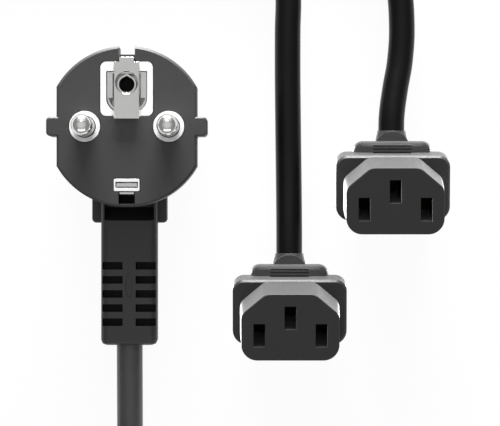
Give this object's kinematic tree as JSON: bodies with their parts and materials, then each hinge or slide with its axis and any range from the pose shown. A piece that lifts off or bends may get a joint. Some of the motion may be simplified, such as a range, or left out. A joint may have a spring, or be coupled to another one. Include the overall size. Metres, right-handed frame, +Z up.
{
  "type": "power cord splitter",
  "caption": "Black power cord splitter: an earthed mains plug on one cord that branches at a moulded junction to appliance connectors",
  "frame": {"origin": "the middle of the plug's flat back, on the surface the object lies on", "axes": "+Z up out of the plug's face, as the pins point; +X towards the two connectors; +Y the way the connectors' leads leave them"},
  "size_m": [0.1427, 0.2112, 0.048],
  "materials": {
    "housing": "soft black PVC moulding with a fine grain",
    "carrier": "pale hard plastic round the pins and the earth socket",
    "nickel": "nickel-plated metal",
    "insert": "hard black plastic connector nose",
    "brass": "dull brass contact",
    "cord": "smooth black flexible jacket"
  },
  "bodies": {
    "root": {"plug_body": "housing", "pin_carrier": "carrier", "pin_left": "nickel", "pin_right": "nickel", "earth_strap": "nickel", "earth_socket": "nickel", "connector_a_body": "housing", "connector_a_insert": "insert", "connector_a_contact_left": "brass", "connector_a_contact_right": "brass", "connector_a_contact_earth": "brass", "connector_b_body": "housing", "connector_b_insert": "insert", "connector_b_contact_left": "brass", "connector_b_contact_right": "brass", "connector_b_contact_earth": "brass", "y_junction": "housing", "trunk_start": "cord", "trunk_coil": "cord", "trunk_end": "cord", "lead_a": "cord", "lead_b": "cord"}
  },
  "joints": []
}
